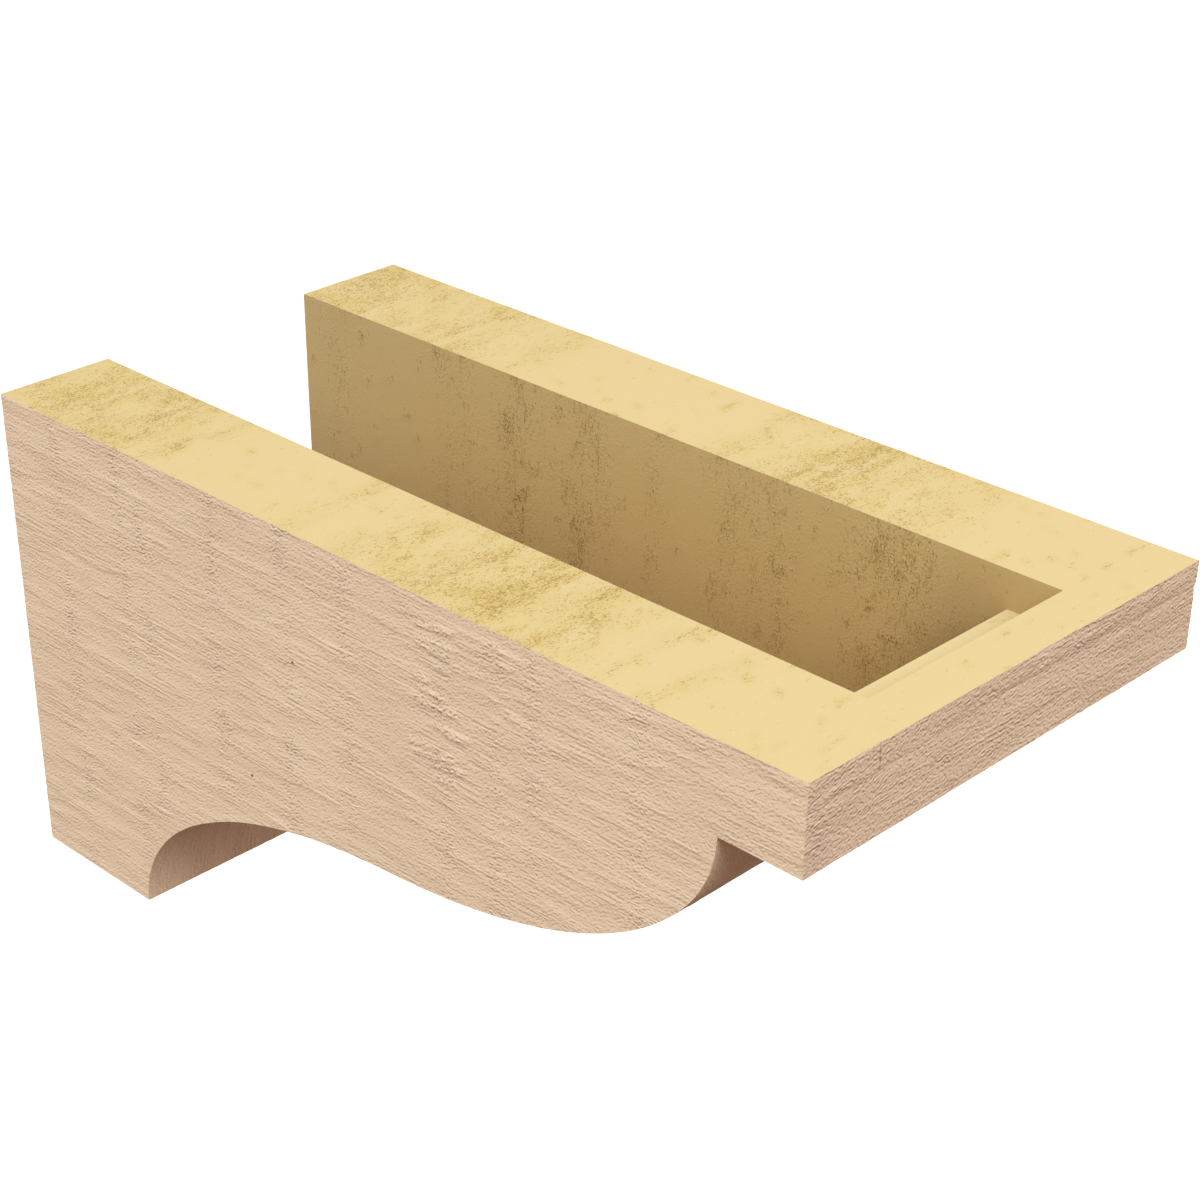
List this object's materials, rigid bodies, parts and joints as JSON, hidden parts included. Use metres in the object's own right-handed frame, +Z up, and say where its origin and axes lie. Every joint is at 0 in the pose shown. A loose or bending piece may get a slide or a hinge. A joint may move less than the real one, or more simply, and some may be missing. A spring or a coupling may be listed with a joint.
{
  "type": "corbel",
  "caption": "Hollow moulded corbel with an ogee underside, a square nose block, a channel open at top and back, and a rough-sawn wood texture outside.",
  "frame": {"origin": "middle of the back end of the channel's floor, on the wall that the corbel is fixed to", "axes": "+Y into the wall, so that the corbel reaches out along -Y; +Z up; +X across the corbel"},
  "size_m": [0.2032, 0.4064, 0.2032],
  "materials": {
    "moulded_foam": "matt tan primed skin with a rough-sawn wood grain outside; raw pale yellow foam with ochre specks on the top rim and in the channel"
  },
  "bodies": {
    "root": {"corbel_body": "moulded_foam"}
  },
  "joints": []
}
